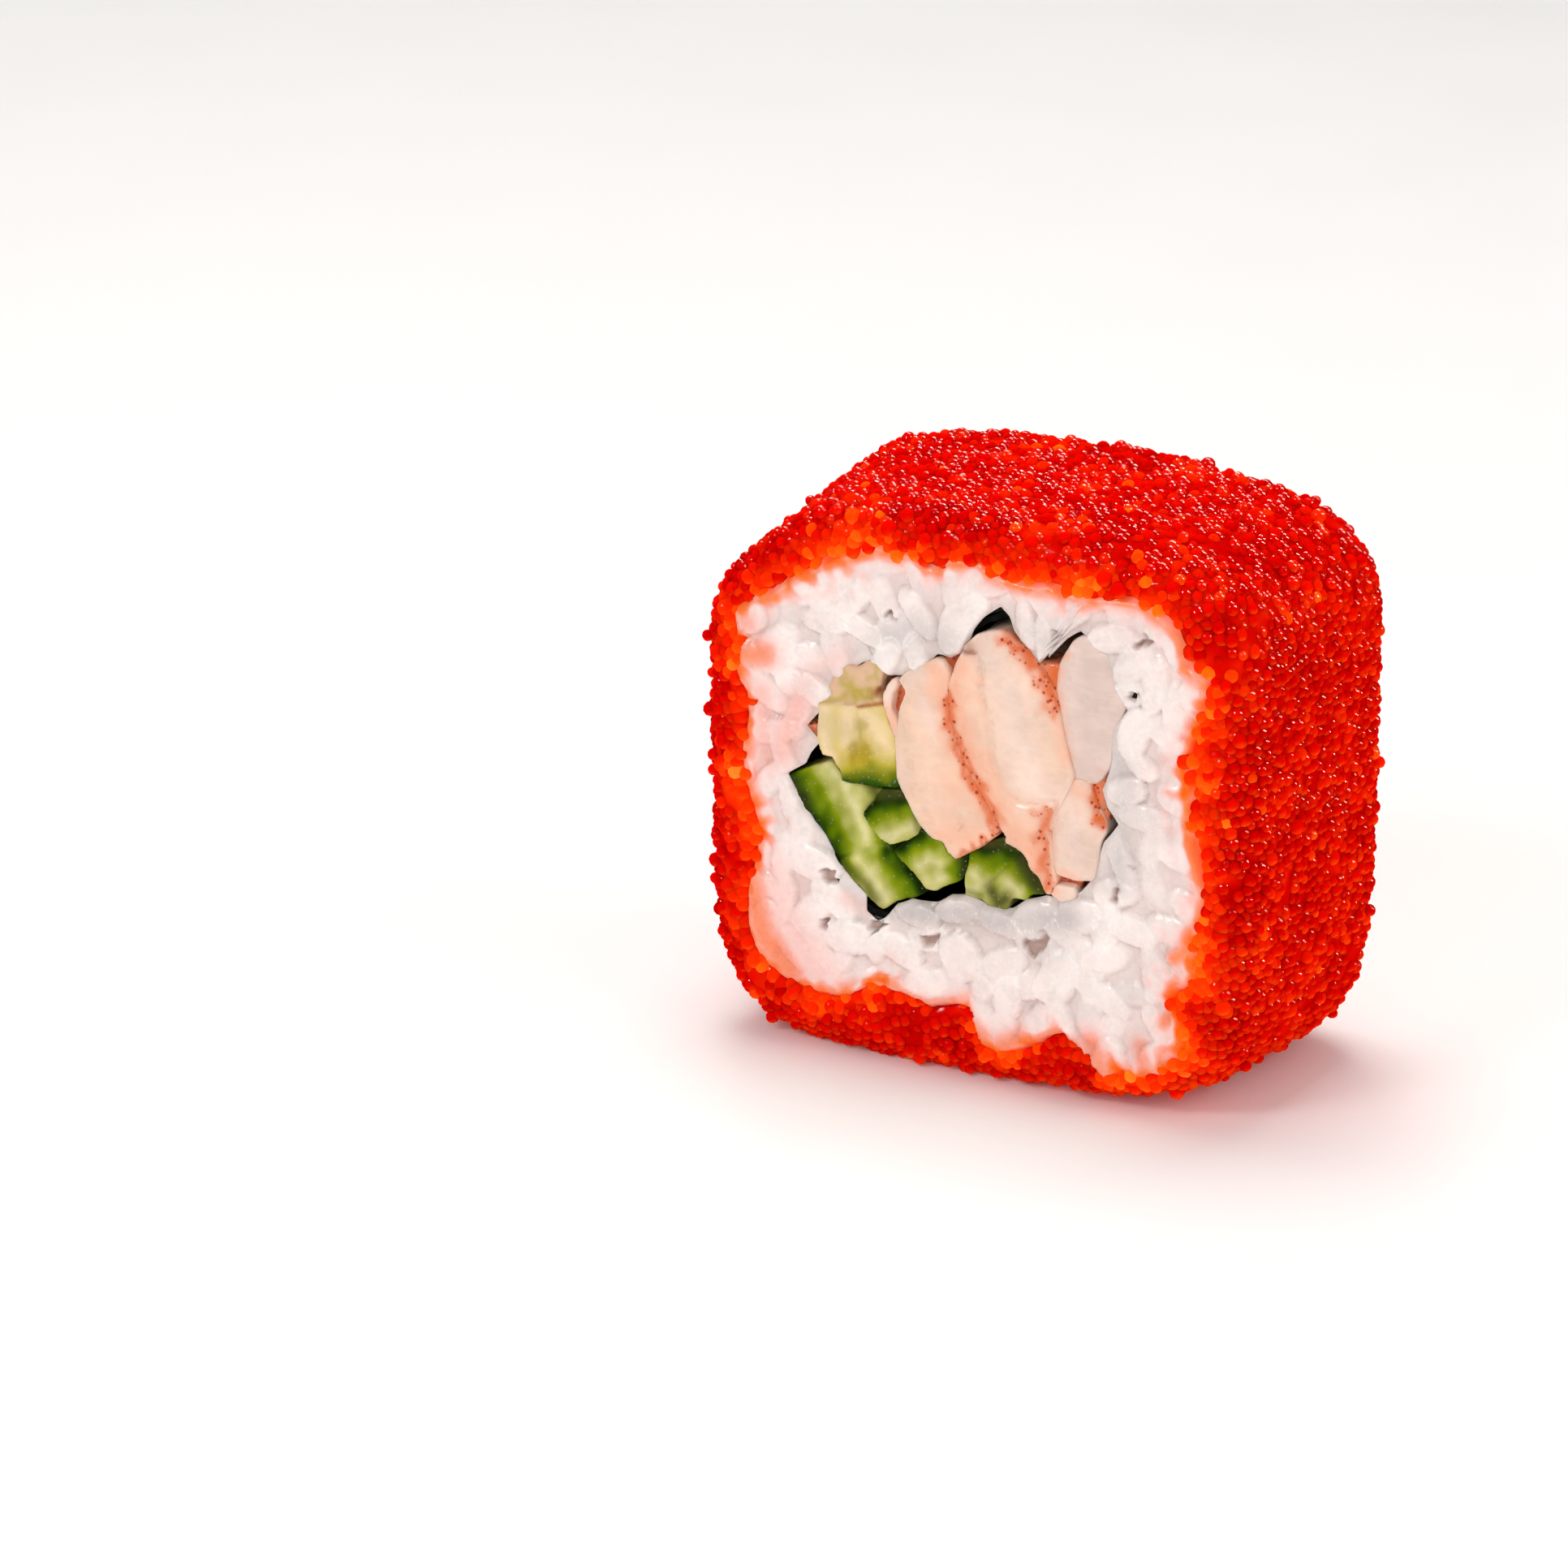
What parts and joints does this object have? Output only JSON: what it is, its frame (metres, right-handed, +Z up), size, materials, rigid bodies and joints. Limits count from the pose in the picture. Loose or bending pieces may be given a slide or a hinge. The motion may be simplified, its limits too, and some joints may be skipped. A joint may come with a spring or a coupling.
{
  "type": "california roll piece",
  "caption": "Piece of inside-out sushi roll, rounded square in section, coated in red fish roe over rice, with prawn, cucumber and avocado showing at the cut faces.",
  "frame": {"origin": "middle of the flat underside that the piece rests on", "axes": "+X across the roll, +Y along the roll's axis from the shown cut face to the back one, +Z up"},
  "size_m": [0.044, 0.0226, 0.0415],
  "materials": {
    "roe": "wet, glossy, translucent",
    "rice": "moist, soft sheen",
    "nori": "damp, satin",
    "prawn": "moist, soft sheen",
    "cucumber": "wet, freshly cut",
    "avocado": "smooth, buttery"
  },
  "bodies": {
    "root": {"roe_coat": "roe", "rice": "rice", "nori": "nori", "shrimp_left": "prawn", "shrimp_middle": "prawn", "shrimp_right": "prawn", "shrimp_lower": "prawn", "cucumber_long": "cucumber", "cucumber_small": "cucumber", "cucumber_middle": "cucumber", "cucumber_right": "cucumber", "avocado": "avocado"}
  },
  "joints": []
}
